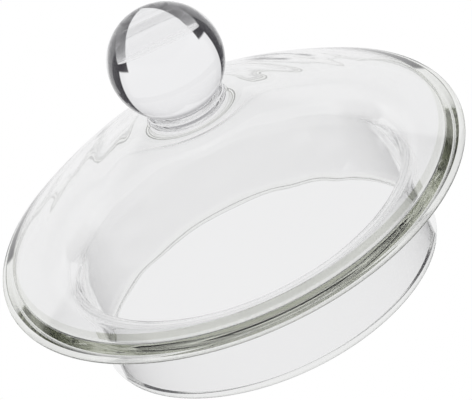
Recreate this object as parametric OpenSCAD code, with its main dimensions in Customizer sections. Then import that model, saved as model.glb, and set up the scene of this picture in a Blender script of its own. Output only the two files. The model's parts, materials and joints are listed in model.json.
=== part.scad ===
// Blown glass lid with a solid ball knob.
// The origin is the centre of the resting edge, and +Z runs up the lid's axis to the knob.
// Every piece is a body of revolution: its half section is drawn with x as radius and y as height.

/* [Rim] */
// Outer diameter of the lid over the rim bead
rim_d = 90; // [89:0.5:96]
// Diameter of the rolled rim bead
rim_bead_d = 2; // [2:0.1:3]
// Height of the rim bead's centre above the resting edge
rim_z = 19.3; // [17:0.1:24]

/* [Dome] */
// Height of the flat knob seat above the rim bead's centre
dome_rise = 22.6; // [18:0.2:25]
// Radius of the long shallow arc that the dome's side follows
dome_arc_r = 160; // [120:10:400]
// Glass wall thickness of the dome, shoulder and skirt
wall_t = 1.4; // [1.2:0.1:1.8]
// Radius that rounds the top of the hollow inside the dome
crown_r = 30; // [27:1:60]
// Radius that rounds the rim of that hollow, where dome and flange run together
close_round_r = 0.4; // [0.2:0.1:0.6]

/* [Collar] */
// Outer diameter of the locating skirt
skirt_d = 64.8; // [60:0.2:66]
// Radius of the outer surface where the skirt turns out into the flange
shoulder_r = 4; // [3:0.5:8]
// Depth of the flange's flat underside below the rim bead's centre
flange_drop = 0.6; // [0.4:0.1:0.9]
// Diameter of the fire-polished bead along the skirt's lower edge
lip_d = 2; // [1.8:0.1:2.4]
// Height lost where that bead is flattened to a resting edge
lip_flat = 0.1; // [0.05:0.05:0.2]

/* [Knob] */
// Diameter of the solid ball
ball_d = 21.5; // [19:0.5:24]
// Diameter of the weld ring that seals the knob to the dome
weld_d = 15.3; // [14:0.1:16]
// Height of the weld ring
weld_h = 1.4; // [1.2:0.1:1.6]
// Diameter of the collar ring between the weld ring and the ball
collar_d = 14.8; // [14:0.1:15.2]
// Height of the collar ring
collar_h = 1.3; // [1:0.1:1.5]

/* [Hidden] */

$fn = 96;
clear_glass = [0.9, 0.93, 0.92, 0.45];
thick_glass = [0.8, 0.84, 0.78, 0.6];

// Long enough to reach past every section when it is used as a cutting square
reach = rim_d;

// Rim bead
bead_r = rim_bead_d / 2;
bead_at = [rim_d / 2 - bead_r, rim_z];

// Knob seat and knob
seat_z = rim_z + dome_rise;
weld_r = weld_d / 2;
weld_top = seat_z + weld_h;
ball_r = ball_d / 2;
ball_z = seat_z + ball_r;

// Collar levels, from the flange down to the resting edge
flange_low = rim_z - flange_drop;
flange_top = flange_low + wall_t;
skirt_r = skirt_d / 2;
skirt_in_r = skirt_r - wall_t;
turn_at = [skirt_r + shoulder_r, flange_low - shoulder_r];
lip_r = lip_d / 2;
lip_at = [skirt_r - lip_r, lip_r - lip_flat];

// The point at distance da from a and db from b, to the right of the line from a to b
function meet(a, da, b, db) =
    let (gap = norm(b - a))
    let (along = (da * da - db * db + gap * gap) / (2 * gap))
    let (aside = sqrt(da * da - along * along))
    let (u = (b - a) / gap)
    a + along * u + aside * [u.y, -u.x];

// The dome's arc runs through the edge of the knob seat and touches the rim bead from outside
dome_centre = meet([weld_r, seat_z], dome_arc_r, bead_at, dome_arc_r - bead_r);

// The arc inside the dome, one wall thickness under the outer arc
inner_arc_r = dome_arc_r - wall_t;

// The hollow's rim is rounded about this point, on the flange and touching the inner arc from inside
close_z = flange_top + close_round_r;
close_r = dome_centre.x + sqrt(pow(inner_arc_r - close_round_r, 2) - pow(close_z - dome_centre.y, 2));
close_at = [close_r, close_z];

// Centre of the rounding at the top of the hollow, on the axis and touching the inner arc from inside
crown_z = dome_centre.y + sqrt(pow(inner_arc_r - crown_r, 2) - pow(dome_centre.x, 2));

// Rectangle between two heights and two radii, used to fill or to cut a half section
module band(z_low, z_high, r_low = 0, r_high = reach) {
    translate([r_low, z_low])
        square([r_high - r_low, z_high - z_low]);
}

// Everything under the dome's arc, or under the arc inside it
module under_dome(arc_r = dome_arc_r) {
    translate(dome_centre)
        circle(r = arc_r, $fn = 360);
}

// Point where a rounding of radius r about a centre touches the inner arc
function touch_of(centre, r) = centre + r * (centre - dome_centre) / (inner_arc_r - r);

// Half section of the hollow over the flange: the inner arc with a rounding at either end
module hollow() {
    touch = touch_of([0, crown_z], crown_r);
    band(flange_top, close_z, 0, close_r);
    translate(close_at)
        circle(r = close_round_r);
    intersection() {
        under_dome(inner_arc_r);
        band(close_z, touch.y, 0, touch_of(close_at, close_round_r).x);
    }
    intersection() {
        translate([0, crown_z])
            circle(r = crown_r, $fn = 360);
        band(touch.y, seat_z);
    }
}

module knob_ball() {
    color(clear_glass)
        translate([0, 0, ball_z])
            sphere(d = ball_d);
}

// Ring with a full round edge, hollowed where the ball sinks into it
module knob_ring(d, z_low, h) {
    difference() {
        rotate_extrude() {
            band(z_low, z_low + h, 0, d / 2 - h / 2);
            intersection() {
                translate([d / 2 - h / 2, z_low + h / 2])
                    circle(d = h);
                band(z_low, z_low + h);
            }
        }
        translate([0, 0, ball_z])
            sphere(d = ball_d);
    }
}

module knob_collar() {
    color(thick_glass)
        knob_ring(collar_d, weld_top, collar_h);
}

module knob_weld() {
    color(thick_glass)
        knob_ring(weld_d, seat_z, weld_h);
}

// Shallow cone-like shell with a flat seat for the knob and a rounded top to its hollow
module dome() {
    color(clear_glass)
        rotate_extrude()
            difference() {
                intersection() {
                    under_dome();
                    band(flange_top, seat_z, 0, close_r);
                }
                hollow();
            }
}

// Solid edge where dome and flange are fused and rolled
module rim_bead() {
    color(thick_glass)
        rotate_extrude()
            difference() {
                union() {
                    intersection() {
                        under_dome();
                        band(flange_low, rim_z + reach, close_r, bead_at.x);
                    }
                    translate(bead_at)
                        circle(r = bead_r);
                }
                hollow();
            }
}

// Flat flange underside and the quarter turn down into the skirt
module shoulder() {
    color(clear_glass)
        rotate_extrude() {
            band(flange_low, flange_top, turn_at.x, close_r);
            intersection() {
                difference() {
                    translate(turn_at)
                        circle(r = shoulder_r + wall_t);
                    translate(turn_at)
                        circle(r = shoulder_r);
                }
                band(turn_at.y, flange_top, 0, turn_at.x);
            }
        }
}

// Straight wall that drops into the mouth of the pot
module skirt() {
    color(clear_glass)
        rotate_extrude()
            band(lip_at.y, turn_at.y, skirt_in_r, skirt_r);
}

// Fire-polished lower edge, flush with the skirt outside and fuller inside
module skirt_lip() {
    color(thick_glass)
        rotate_extrude()
            intersection() {
                translate(lip_at)
                    circle(r = lip_r);
                band(0, lip_at.y);
            }
}

knob_ball();
knob_collar();
knob_weld();
dome();
rim_bead();
shoulder();
skirt();
skirt_lip();
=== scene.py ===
import json
import math

import bmesh
import bpy
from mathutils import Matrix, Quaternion, Vector, noise


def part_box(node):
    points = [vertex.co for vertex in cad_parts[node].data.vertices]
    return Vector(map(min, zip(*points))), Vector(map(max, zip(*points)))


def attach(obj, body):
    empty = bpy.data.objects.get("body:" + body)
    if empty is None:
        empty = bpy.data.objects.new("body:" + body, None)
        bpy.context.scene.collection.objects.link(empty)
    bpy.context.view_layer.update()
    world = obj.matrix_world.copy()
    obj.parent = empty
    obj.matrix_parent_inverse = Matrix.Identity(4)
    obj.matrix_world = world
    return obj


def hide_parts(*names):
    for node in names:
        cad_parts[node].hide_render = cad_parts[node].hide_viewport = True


# Blown glass lid with a solid ball knob. Metres, +Z up the lid's axis, origin at the resting edge.
# Every glass piece is a lathe mesh: its half section is a loop of (radius, height) points.

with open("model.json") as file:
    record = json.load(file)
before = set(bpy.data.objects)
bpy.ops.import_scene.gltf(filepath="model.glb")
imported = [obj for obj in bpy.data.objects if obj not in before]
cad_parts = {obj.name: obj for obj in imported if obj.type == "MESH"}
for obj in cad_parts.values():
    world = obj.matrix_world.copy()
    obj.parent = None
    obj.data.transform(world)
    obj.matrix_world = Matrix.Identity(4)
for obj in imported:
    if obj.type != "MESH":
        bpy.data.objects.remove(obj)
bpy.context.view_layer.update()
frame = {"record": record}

MM = 0.001

# ---- Sizes, from the frame ----

rim_low, rim_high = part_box("rim_bead")
dome_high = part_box("dome")[1]
shoulder_low, shoulder_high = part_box("shoulder")
lip_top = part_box("skirt_lip")[1].z
ball_low, ball_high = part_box("knob_ball")
collar_low, collar_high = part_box("knob_collar")
weld_low, weld_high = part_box("knob_weld")

mounts = {mount["name"]: mount for mount in frame["record"]["mounts"]}
flange_low = mounts["flange_underside"]["pos_m"][2]
skirt_r = mounts["skirt_outside"]["dims"]["r_mm"] * MM

rim_r = rim_high.x
close_r = shoulder_high.x
seat_z = dome_high.z
flange_top = shoulder_high.z
wall = flange_top - flange_low
turn_z = shoulder_low.z
turn_r = skirt_r + (flange_low - turn_z)
ball_r = (ball_high.z - ball_low.z) / 2
ball_z = (ball_high.z + ball_low.z) / 2

# The dome's side is one long arc, rounded off inside at the crown and where it closes at the rim;
# rim bead and lip are small circles
DOME_ARC_R = 160 * MM
CROWN_R = 30 * MM
CLOSE_ROUND_R = 0.4 * MM
BEAD_R = 1 * MM
LIP_R = 1 * MM

bead_at = Vector((rim_r - BEAD_R, rim_low.z + BEAD_R))
lip_at = Vector((skirt_r - LIP_R, lip_top))

# Mesh density, and the distance under which two points count as one
SEGMENTS = 360
STEP = 0.5 * MM
TINY = 1e-7

# Face kinds, which are also material slots on each piece
GLASS = 0
SEAL = 1


def circle_through(a, b, radius):
    """Centre of the circle of this radius through a and b, on the axis side below them."""
    gap = b - a
    middle = (a + b) / 2
    side = Vector((gap.y, -gap.x)).normalized()
    return middle + side * math.sqrt(radius * radius - gap.length_squared / 4)


rim_edge = Vector((close_r, rim_high.z))
dome_centre = circle_through(Vector((weld_high.x, seat_z)), rim_edge, DOME_ARC_R)
inner_arc_r = DOME_ARC_R - wall
inner_edge = Vector((close_r, dome_centre.y + math.sqrt(inner_arc_r ** 2 - (close_r - dome_centre.x) ** 2)))
crown = Vector((0, dome_centre.y + math.sqrt((inner_arc_r - CROWN_R) ** 2 - dome_centre.x ** 2)))
close_at = Vector((close_r, flange_top + CLOSE_ROUND_R))


def inner_touch(centre, radius):
    """Point where a rounding about centre touches the dome's inner arc."""
    return centre + radius * (centre - dome_centre) / (inner_arc_r - radius)


# ---- Outline helpers ----

def straight(start, end):
    """Points from start to end, about STEP apart."""
    start = Vector(start)
    end = Vector(end)
    count = max(1, round((end - start).length / STEP))
    return [start.lerp(end, index / count) for index in range(count + 1)]


def arc(centre, radius, start, end, step=STEP):
    """Points on a circle from angle start to angle end, in radians from the radial axis."""
    count = max(4, round(abs(end - start) * radius / step))
    points = []
    for index in range(count + 1):
        angle = start + (end - start) * index / count
        across = radius * math.cos(angle)
        up = radius * math.sin(angle)
        points.append(Vector((centre[0] + across, centre[1] + up)))
    return points


def angle_at(centre, point):
    """Angle of a point as seen from centre."""
    return math.atan2(point[1] - centre[1], point[0] - centre[0])


# ---- Handmade unevenness ----

# Share of the radius that the glass drifts inwards, and how often that changes, per metre
OVAL_SHARE = 0.0016
OVAL_SCALE = 34

# Height of the dome's waves, how many there are per metre, how they are stretched, and the finer ones
SWELL = 0.1 * MM
SWELL_SCALE = 75
SWELL_FADE = 8 * MM
SWELL_STRETCH = Vector((0.6, 1, 2))
RIPPLE_SHARE = 0.4
RIPPLE_SCALE = 2.3

# Ridge inside the skirt, at the seam with the shoulder
RIDGE = 0.12 * MM
RIDGE_SPAN = 1.2 * MM


def swell(point):
    """Height of the blown dome's waves, which fade out towards the knob and the rim."""
    r = math.hypot(point.x, point.y)
    rim_fade = min(1, max(0, (close_r - r) / SWELL_FADE))
    knob_fade = min(1, max(0, (r - weld_high.x) / SWELL_FADE))
    fade = rim_fade * knob_fade
    stretched = point * SWELL_STRETCH * SWELL_SCALE
    folds = noise.noise(stretched) + RIPPLE_SHARE * noise.noise(stretched * RIPPLE_SCALE)
    return SWELL * fade * fade * folds


def handmade(point):
    """Moves a point of the perfect lid to where the handmade one has it."""
    drift = (1 + noise.noise(point * OVAL_SCALE)) / 2
    share = 1 - OVAL_SHARE * drift
    r = math.hypot(point.x, point.y)
    if 0 < r < skirt_r - wall / 2:
        share *= 1 - RIDGE * math.exp(-((point.z - turn_z) / RIDGE_SPAN) ** 2) / r
    lift = swell(point) if flange_top < point.z < seat_z else 0
    return Vector((point.x * share, point.y * share, point.z + lift))


# ---- Mesh ----

def lathe(name, stretches):
    """Closed mesh of revolution from stretches of (face kind, points) that follow each other."""
    outline = []
    kinds = []
    for kind, points in stretches:
        for point in points[:-1]:
            outline.append(point)
            kinds.append(kind)
    outline.append(stretches[-1][1][-1])
    closed = (outline[0] - outline[-1]).length < TINY
    if closed:
        outline.pop()

    mesh = bmesh.new()
    rings = []
    for point in outline:
        if point.x < TINY:
            rings.append([mesh.verts.new((0, 0, point.y))])
            continue
        ring = []
        for index in range(SEGMENTS):
            angle = 2 * math.pi * index / SEGMENTS
            perfect = Vector((point.x * math.cos(angle), point.x * math.sin(angle), point.y))
            ring.append(mesh.verts.new(handmade(perfect)))
        rings.append(ring)

    for index, kind in enumerate(kinds):
        first = rings[index]
        second = rings[(index + 1) % len(rings)]
        for turn in range(SEGMENTS):
            after = (turn + 1) % SEGMENTS
            corners = []
            corners += [first[turn], first[after]] if len(first) > 1 else [first[0]]
            corners += [second[after], second[turn]] if len(second) > 1 else [second[0]]
            face = mesh.faces.new(corners)
            face.material_index = kind
            face.smooth = True
    bmesh.ops.recalc_face_normals(mesh, faces=mesh.faces)

    crease = math.radians(40)
    for edge in mesh.edges:
        one, two = edge.link_faces
        if one.material_index != two.material_index or edge.calc_face_angle() > crease:
            edge.smooth = False

    data = bpy.data.meshes.new(name)
    mesh.to_mesh(data)
    mesh.free()
    piece = bpy.data.objects.new(name, data)
    bpy.context.scene.collection.objects.link(piece)
    return piece


# ---- Half sections ----

def ball_outline():
    """Sphere that sinks into the neck rings."""
    top = math.pi / 2
    meets = angle_at((0, ball_z), collar_meets_ball())
    centre = (0, ball_z)
    return [(GLASS, arc(centre, ball_r, top, meets)), (SEAL, arc(centre, ball_r, meets, -top))]


def ring_edge(low, high):
    """Centre and radius of the full round edge of a neck ring."""
    radius = (high.z - low.z) / 2
    return Vector((high.x - radius, low.z + radius)), radius


def collar_meets_ball():
    """Where the collar's round edge runs into the ball."""
    centre, radius = ring_edge(collar_low, collar_high)
    gap = Vector((0, ball_z)) - centre
    along = (radius * radius - ball_r * ball_r + gap.length_squared) / (2 * gap.length)
    aside = math.sqrt(radius * radius - along * along)
    direction = gap.normalized()
    return centre + direction * along + Vector((direction.y, -direction.x)) * aside


def collar_outline():
    """Upper neck ring, open in the middle where the ball sits."""
    centre, radius = ring_edge(collar_low, collar_high)
    meets = collar_meets_ball()
    bottom = Vector((math.sqrt(ball_r ** 2 - (ball_z - collar_low.z) ** 2), collar_low.z))
    return [
        (SEAL, straight(bottom, (centre.x, collar_low.z))),
        (GLASS, arc(centre, radius, -math.pi / 2, angle_at(centre, meets), radius / 8)),
        (SEAL, arc((0, ball_z), ball_r, angle_at((0, ball_z), meets), angle_at((0, ball_z), bottom))),
    ]


def weld_outline():
    """Lower neck ring, sealed to the dome's seat."""
    centre, radius = ring_edge(weld_low, weld_high)
    collar_centre = ring_edge(collar_low, collar_high)[0]
    top = Vector((math.sqrt(ball_r ** 2 - (ball_z - weld_high.z) ** 2), weld_high.z))
    return [
        (SEAL, straight((0, weld_low.z), (centre.x, weld_low.z))),
        (GLASS, arc(centre, radius, -math.pi / 2, math.pi / 2, radius / 8)),
        (GLASS, straight((centre.x, weld_high.z), (collar_centre.x, weld_high.z))),
        (SEAL, straight((collar_centre.x, weld_high.z), top)),
        (SEAL, arc((0, ball_z), ball_r, angle_at((0, ball_z), top), -math.pi / 2)),
    ]


def dome_outline():
    """Shallow shell with a flat seat for the knob."""
    weld_centre = ring_edge(weld_low, weld_high)[0]
    seat_edge = Vector((weld_high.x, seat_z))
    touch = inner_touch(crown, CROWN_R)
    outer_start = angle_at(dome_centre, seat_edge)
    outer_end = angle_at(dome_centre, rim_edge)
    inner_start = angle_at(dome_centre, inner_edge)
    inner_end = angle_at(dome_centre, touch)
    return [
        (SEAL, straight((0, seat_z), (weld_centre.x, seat_z))),
        (GLASS, straight((weld_centre.x, seat_z), seat_edge)),
        (GLASS, arc(dome_centre, DOME_ARC_R, outer_start, outer_end)),
        (SEAL, straight(rim_edge, inner_edge)),
        (GLASS, arc(dome_centre, inner_arc_r, inner_start, inner_end)),
        (GLASS, arc(crown, CROWN_R, angle_at(crown, touch), math.pi / 2)),
    ]


def rim_outline():
    """Solid edge where dome and flange are fused and rolled."""
    touch = angle_at(dome_centre, bead_at)
    closes = inner_touch(close_at, CLOSE_ROUND_R)
    inner_turn = angle_at(dome_centre, inner_edge)
    underside_dz = flange_low - bead_at.y
    leaves = math.atan2(underside_dz, -math.sqrt(BEAD_R ** 2 - underside_dz ** 2))
    return [
        (GLASS, arc(dome_centre, DOME_ARC_R, angle_at(dome_centre, rim_edge), touch, BEAD_R / 8)),
        (GLASS, arc(bead_at, BEAD_R, touch, leaves, BEAD_R / 12)),
        (GLASS, straight((bead_at.x + BEAD_R * math.cos(leaves), flange_low), (close_r, flange_low))),
        (SEAL, straight((close_r, flange_low), (close_r, flange_top))),
        (GLASS, arc(close_at, CLOSE_ROUND_R, -math.pi / 2, angle_at(close_at, closes), CLOSE_ROUND_R / 6)),
        (GLASS, arc(dome_centre, inner_arc_r, angle_at(dome_centre, closes), inner_turn, CLOSE_ROUND_R / 3)),
        (SEAL, straight(inner_edge, rim_edge)),
    ]


def shoulder_outline():
    """Flat flange and the quarter turn down into the skirt."""
    centre = (turn_r, turn_z)
    outer = turn_r - skirt_r
    up = math.pi / 2
    return [
        (GLASS, straight((close_r, flange_low), (turn_r, flange_low))),
        (GLASS, arc(centre, outer, up, math.pi)),
        (SEAL, straight((skirt_r, turn_z), (skirt_r - wall, turn_z))),
        (GLASS, arc(centre, outer + wall, math.pi, up)),
        (GLASS, straight((turn_r, flange_top), (close_r, flange_top))),
        (SEAL, straight((close_r, flange_top), (close_r, flange_low))),
    ]


def skirt_outline():
    """Straight wall that drops into the mouth of the pot."""
    inner = skirt_r - wall
    return [
        (SEAL, straight((inner, lip_top), (skirt_r, lip_top))),
        (GLASS, straight((skirt_r, lip_top), (skirt_r, turn_z))),
        (SEAL, straight((skirt_r, turn_z), (inner, turn_z))),
        (GLASS, straight((inner, turn_z), (inner, lip_top))),
    ]


def lip_outline():
    """Fire-polished lower edge with a narrow flat that the lid stands on."""
    flat = math.acos(lip_at.y / LIP_R)
    down = -math.pi / 2
    left = (lip_at.x - LIP_R * math.sin(flat), 0)
    right = (lip_at.x + LIP_R * math.sin(flat), 0)
    return [
        (GLASS, arc(lip_at, LIP_R, 0, down + flat, LIP_R / 10)),
        (GLASS, straight(right, left)),
        (GLASS, arc(lip_at, LIP_R, down - flat, -math.pi, LIP_R / 10)),
        (GLASS, straight((lip_at.x - LIP_R, lip_top), (skirt_r - wall, lip_top))),
        (SEAL, straight((skirt_r - wall, lip_top), (skirt_r, lip_top))),
    ]


# ---- Materials ----

def shader(name):
    """New node material; returns it with its node tree and its output node."""
    material = bpy.data.materials.new(name)
    material.use_nodes = True
    tree = material.node_tree
    tree.nodes.clear()
    output = tree.nodes.new("ShaderNodeOutputMaterial")
    return material, tree, output


def object_place(tree):
    """The lid's own coordinates."""
    return tree.nodes.new("ShaderNodeTexCoord").outputs["Object"]


def calc(tree, operation, first, second=None):
    """Output of one math node; an input is a number or another node's output."""
    node = tree.nodes.new("ShaderNodeMath")
    node.operation = operation
    for socket, value in zip(node.inputs, (first, second)):
        if value is None:
            continue
        if isinstance(value, (int, float)):
            socket.default_value = value
        else:
            tree.links.new(value, socket)
    return node.outputs["Value"]


def rise(tree, value, start, end):
    """Smooth step from 0 at start to 1 at end; it falls instead where start is the larger."""
    node = tree.nodes.new("ShaderNodeMapRange")
    node.interpolation_type = "SMOOTHSTEP"
    if start > end:
        node.inputs["From Min"].default_value = end
        node.inputs["From Max"].default_value = start
        node.inputs["To Min"].default_value = 1
        node.inputs["To Max"].default_value = 0
    else:
        node.inputs["From Min"].default_value = start
        node.inputs["From Max"].default_value = end
    tree.links.new(value, node.inputs["Value"])
    return node.outputs["Result"]


# Noise and cells per metre of glass
WAVE_SCALE = 45
PATCH_SCALE = 30
SCRATCH_SCALE = 55

# Scratch width as a share of a cell, how the cells lie, and how much longer they are than wide
SCRATCH_WIDTH = 0.012
SCRATCH_LIE = (0.3, 0.5, 0.2)
SCRATCH_STRETCH = (1, 1, 0.45)
PATCH_EDGES = (0.45, 0.55)

GLASS_IOR = 1.473
HAZE = 0.03
DEPTH = 28 * MM


def scratches(tree, place):
    """Mask of hairline scratches: edges of drawn-out cells, kept only in patches of the skirt."""
    patches = tree.nodes.new("ShaderNodeTexNoise")
    patches.inputs["Scale"].default_value = PATCH_SCALE
    tree.links.new(place, patches.inputs["Vector"])
    drawn = tree.nodes.new("ShaderNodeMapping")
    drawn.inputs["Rotation"].default_value = SCRATCH_LIE
    drawn.inputs["Scale"].default_value = SCRATCH_STRETCH
    tree.links.new(place, drawn.inputs["Vector"])
    cells = tree.nodes.new("ShaderNodeTexVoronoi")
    cells.feature = "DISTANCE_TO_EDGE"
    cells.inputs["Scale"].default_value = SCRATCH_SCALE
    tree.links.new(drawn.outputs["Vector"], cells.inputs["Vector"])
    line = rise(tree, cells.outputs["Distance"], SCRATCH_WIDTH, 0)
    patch = rise(tree, patches.outputs["Fac"], PATCH_EDGES[0], PATCH_EDGES[1])
    parts = tree.nodes.new("ShaderNodeSeparateXYZ")
    tree.links.new(place, parts.inputs["Vector"])
    on_skirt = rise(tree, parts.outputs["Z"], turn_z, turn_z - 2 * MM)
    return calc(tree, "MULTIPLY", calc(tree, "MULTIPLY", line, patch), on_skirt)


def glass_material(name, clear, tinted, tint_scale, wave_height, scratch_depth, depth_tint=None):
    """Clear glass: drifting tint, gently wavy surface, fine scratches that catch the light. Glass with
    a depth_tint also takes on that colour over every DEPTH of glass that the light passes."""
    material, tree, output = shader(name)
    place = object_place(tree)

    drift = tree.nodes.new("ShaderNodeTexNoise")
    drift.inputs["Scale"].default_value = tint_scale
    tree.links.new(place, drift.inputs["Vector"])
    tint = tree.nodes.new("ShaderNodeMix")
    tint.data_type = "RGBA"
    tint.inputs["A"].default_value = clear
    tint.inputs["B"].default_value = tinted
    tree.links.new(drift.outputs["Fac"], tint.inputs["Factor"])

    wave = tree.nodes.new("ShaderNodeTexNoise")
    wave.inputs["Scale"].default_value = WAVE_SCALE
    wave.inputs["Detail"].default_value = 1
    tree.links.new(place, wave.inputs["Vector"])
    bump = tree.nodes.new("ShaderNodeBump")
    bump.inputs["Strength"].default_value = 1
    bump.inputs["Distance"].default_value = wave_height
    tree.links.new(wave.outputs["Fac"], bump.inputs["Height"])
    scored = tree.nodes.new("ShaderNodeBump")
    scored.invert = True
    scored.inputs["Strength"].default_value = 1
    scored.inputs["Distance"].default_value = scratch_depth
    tree.links.new(scratches(tree, place), scored.inputs["Height"])
    tree.links.new(bump.outputs["Normal"], scored.inputs["Normal"])

    haze = tree.nodes.new("ShaderNodeMapRange")
    haze.inputs["To Min"].default_value = 0
    haze.inputs["To Max"].default_value = HAZE
    tree.links.new(drift.outputs["Fac"], haze.inputs["Value"])

    glass = tree.nodes.new("ShaderNodeBsdfPrincipled")
    glass.inputs["Transmission Weight"].default_value = 1
    glass.inputs["IOR"].default_value = GLASS_IOR
    tree.links.new(tint.outputs["Result"], glass.inputs["Base Color"])
    tree.links.new(haze.outputs["Result"], glass.inputs["Roughness"])
    tree.links.new(scored.outputs["Normal"], glass.inputs["Normal"])
    tree.links.new(glass.outputs["BSDF"], output.inputs["Surface"])
    if depth_tint:
        inside = tree.nodes.new("ShaderNodeVolumeAbsorption")
        inside.inputs["Color"].default_value = depth_tint
        inside.inputs["Density"].default_value = 1 / DEPTH
        tree.links.new(inside.outputs["Volume"], output.inputs["Volume"])
    return material


def seal_material():
    """Faces where two pieces are fused: nothing is seen there."""
    material, tree, output = shader("flame_seal")
    clear = tree.nodes.new("ShaderNodeBsdfTransparent")
    tree.links.new(clear.outputs["BSDF"], output.inputs["Surface"])
    return material


shell_glass = glass_material("shell_glass", (0.995, 0.995, 0.995, 1), (0.982, 0.983, 0.982, 1), 40,
                             0.006 * MM, 0.006 * MM)
solid_glass = glass_material("solid_glass", (0.98, 0.98, 0.985, 1), (0.96, 0.96, 0.97, 1), 60,
                             0.005 * MM, 0.002 * MM)
edge_glass = glass_material("edge_glass", (0.97, 0.975, 0.96, 1), (0.95, 0.955, 0.94, 1), 50,
                            0.002 * MM, 0.002 * MM, (0.7, 0.715, 0.64, 1))
lip_glass = glass_material("lip_glass", (0.97, 0.975, 0.96, 1), (0.95, 0.955, 0.94, 1), 50,
                           0.004 * MM, 0.002 * MM)
flame_seal = seal_material()


# ---- Pieces ----

def glass_piece(node, outline, material):
    """One glass piece in place of one CAD node."""
    piece = lathe(node + "_glass", outline)
    piece.data.materials.append(material)
    piece.data.materials.append(flame_seal)
    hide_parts(node)
    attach(piece, "root")
    return piece


glass_piece("knob_ball", ball_outline(), solid_glass)
glass_piece("knob_collar", collar_outline(), solid_glass)
glass_piece("knob_weld", weld_outline(), solid_glass)
glass_piece("dome", dome_outline(), shell_glass)
glass_piece("rim_bead", rim_outline(), edge_glass)
glass_piece("shoulder", shoulder_outline(), shell_glass)
glass_piece("skirt", skirt_outline(), shell_glass)
glass_piece("skirt_lip", lip_outline(), lip_glass)


# ---- Studio ----

WHITE = (1, 1, 1, 1)
PANEL_WHITE = (0.9, 0.9, 0.905, 1)
DIM = (0.022, 0.02, 0.026, 1)
OVERHEAD = (0.4, 0.4, 0.41, 1)

# Edges of the white areas: turns from straight behind the lid, and heights of a unit vector
PANEL_EDGE = math.radians(47.5)
LOW_EDGE = math.sin(math.radians(-30))
SIDE_EDGES = (math.radians(76), math.radians(90))
CEILING_EDGES = (0.35, 0.6)

# Half the width over which such an edge fades
SOFT = 0.015

# Below LOW_EDGE the white reaches this far sideways, per unit of the direction ahead and down
TABLE_SPREAD = 0.58
TABLE_DEPTH = 0.12


def glow_material(name, colour):
    """Even light from a surface."""
    material, tree, output = shader(name)
    glow = tree.nodes.new("ShaderNodeEmission")
    glow.inputs["Color"].default_value = colour
    tree.links.new(glow.outputs["Emission"], output.inputs["Surface"])
    return material


def light_table():
    """White floor that glows evenly. Only the camera sees it, so it doesn't hide the studio below."""
    reach = 3.0
    depth = -0.05 * MM
    data = bpy.data.meshes.new("floor")
    turns = ((-1, -1), (1, -1), (1, 1), (-1, 1))
    corners = [(reach * x, reach * y, depth) for x, y in turns]
    data.from_pydata(corners, [], [(0, 1, 2, 3)])
    floor = bpy.data.objects.new("floor", data)
    bpy.context.scene.collection.objects.link(floor)
    data.materials.append(glow_material("white_floor", WHITE))
    floor.visible_transmission = False
    floor.visible_glossy = False


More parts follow.
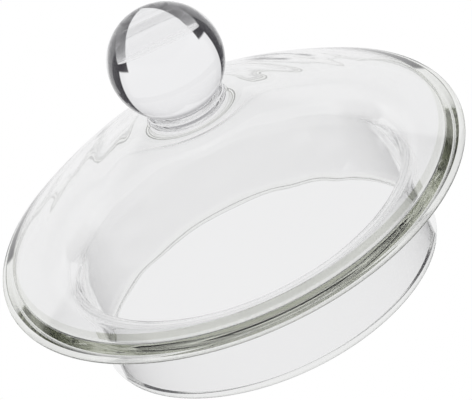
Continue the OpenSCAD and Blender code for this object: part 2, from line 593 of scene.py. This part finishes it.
def studio_world():
    """Plain white to the camera. In the glass: a wide white panel behind the lid, white in front of
    it, a white table below that narrows towards the lid, grey overhead, and dim everywhere else."""
    world = bpy.data.worlds.new("studio")
    world.use_nodes = True
    bpy.context.scene.world = world
    tree = world.node_tree
    tree.nodes.clear()
    output = tree.nodes.new("ShaderNodeOutputWorld")
    direction = tree.nodes.new("ShaderNodeTexCoord").outputs["Generated"]
    parts = tree.nodes.new("ShaderNodeSeparateXYZ")
    tree.links.new(direction, parts.inputs["Vector"])
    height = parts.outputs["Z"]
    side = calc(tree, "ABSOLUTE", parts.outputs["X"])
    azimuth = calc(tree, "ARCTAN2", side, parts.outputs["Y"])

    panel = rise(tree, azimuth, PANEL_EDGE + SOFT, PANEL_EDGE - SOFT)
    beyond = rise(tree, azimuth, SIDE_EDGES[0], SIDE_EDGES[1])
    upper = calc(tree, "MAXIMUM", panel, beyond)
    ahead = calc(tree, "MULTIPLY", parts.outputs["Y"], TABLE_SPREAD)
    below = calc(tree, "MULTIPLY", height, -TABLE_DEPTH)
    inside = calc(tree, "SUBTRACT", calc(tree, "ADD", ahead, below), side)
    lower = rise(tree, inside, -SOFT, SOFT)
    above = rise(tree, height, LOW_EDGE - SOFT, LOW_EDGE + SOFT)
    white = tree.nodes.new("ShaderNodeMix")
    tree.links.new(above, white.inputs["Factor"])
    tree.links.new(lower, white.inputs["A"])
    tree.links.new(upper, white.inputs["B"])
    ceiling = rise(tree, height, CEILING_EDGES[0], CEILING_EDGES[1])

    sides = tree.nodes.new("ShaderNodeMix")
    sides.data_type = "RGBA"
    sides.inputs["A"].default_value = DIM
    sides.inputs["B"].default_value = PANEL_WHITE
    tree.links.new(white.outputs["Result"], sides.inputs["Factor"])
    colour = tree.nodes.new("ShaderNodeMix")
    colour.data_type = "RGBA"
    colour.inputs["B"].default_value = OVERHEAD
    tree.links.new(ceiling, colour.inputs["Factor"])
    tree.links.new(sides.outputs["Result"], colour.inputs["A"])

    sky = tree.nodes.new("ShaderNodeBackground")
    tree.links.new(colour.outputs["Result"], sky.inputs["Color"])
    plain = tree.nodes.new("ShaderNodeBackground")
    plain.inputs["Color"].default_value = WHITE
    path = tree.nodes.new("ShaderNodeLightPath")
    choose = tree.nodes.new("ShaderNodeMixShader")
    tree.links.new(path.outputs["Is Camera Ray"], choose.inputs["Fac"])
    tree.links.new(sky.outputs["Background"], choose.inputs[1])
    tree.links.new(plain.outputs["Background"], choose.inputs[2])
    tree.links.new(choose.outputs["Shader"], output.inputs["Surface"])


def camera():
    """Long lens at the viewing angle, rolled so that the lid leans to the left."""
    elevation = math.radians(31)
    lean = math.radians(25.2)
    distance = 3.0
    sensor = 36.0
    view_width = 85.5 * MM
    right_shift = 0.47 * MM
    up_shift = 0.78 * MM
    data = bpy.data.cameras.new("camera")
    data.sensor_width = sensor
    data.lens = sensor * distance / view_width
    data.clip_end = 20
    eye = bpy.data.objects.new("camera", data)
    bpy.context.scene.collection.objects.link(eye)
    back = Vector((0, -math.cos(elevation), math.sin(elevation)))
    turn = (-back).to_track_quat("-Z", "Y") @ Quaternion((0, 0, 1), -lean)
    aim = Vector((0, 0, bead_at.y)) + turn @ Vector((right_shift, up_shift, 0))
    eye.rotation_mode = "QUATERNION"
    eye.rotation_quaternion = turn
    eye.location = aim + back * distance
    bpy.context.scene.camera = eye


def colour_and_bounces():
    """Plain colour handling, and light paths long enough for many glass walls."""
    scene = bpy.context.scene
    scene.view_settings.view_transform = "Standard"
    scene.cycles.max_bounces = 96
    scene.cycles.transmission_bounces = 96
    scene.cycles.glossy_bounces = 96
    scene.cycles.transparent_max_bounces = 128


light_table()
studio_world()
camera()
colour_and_bounces()
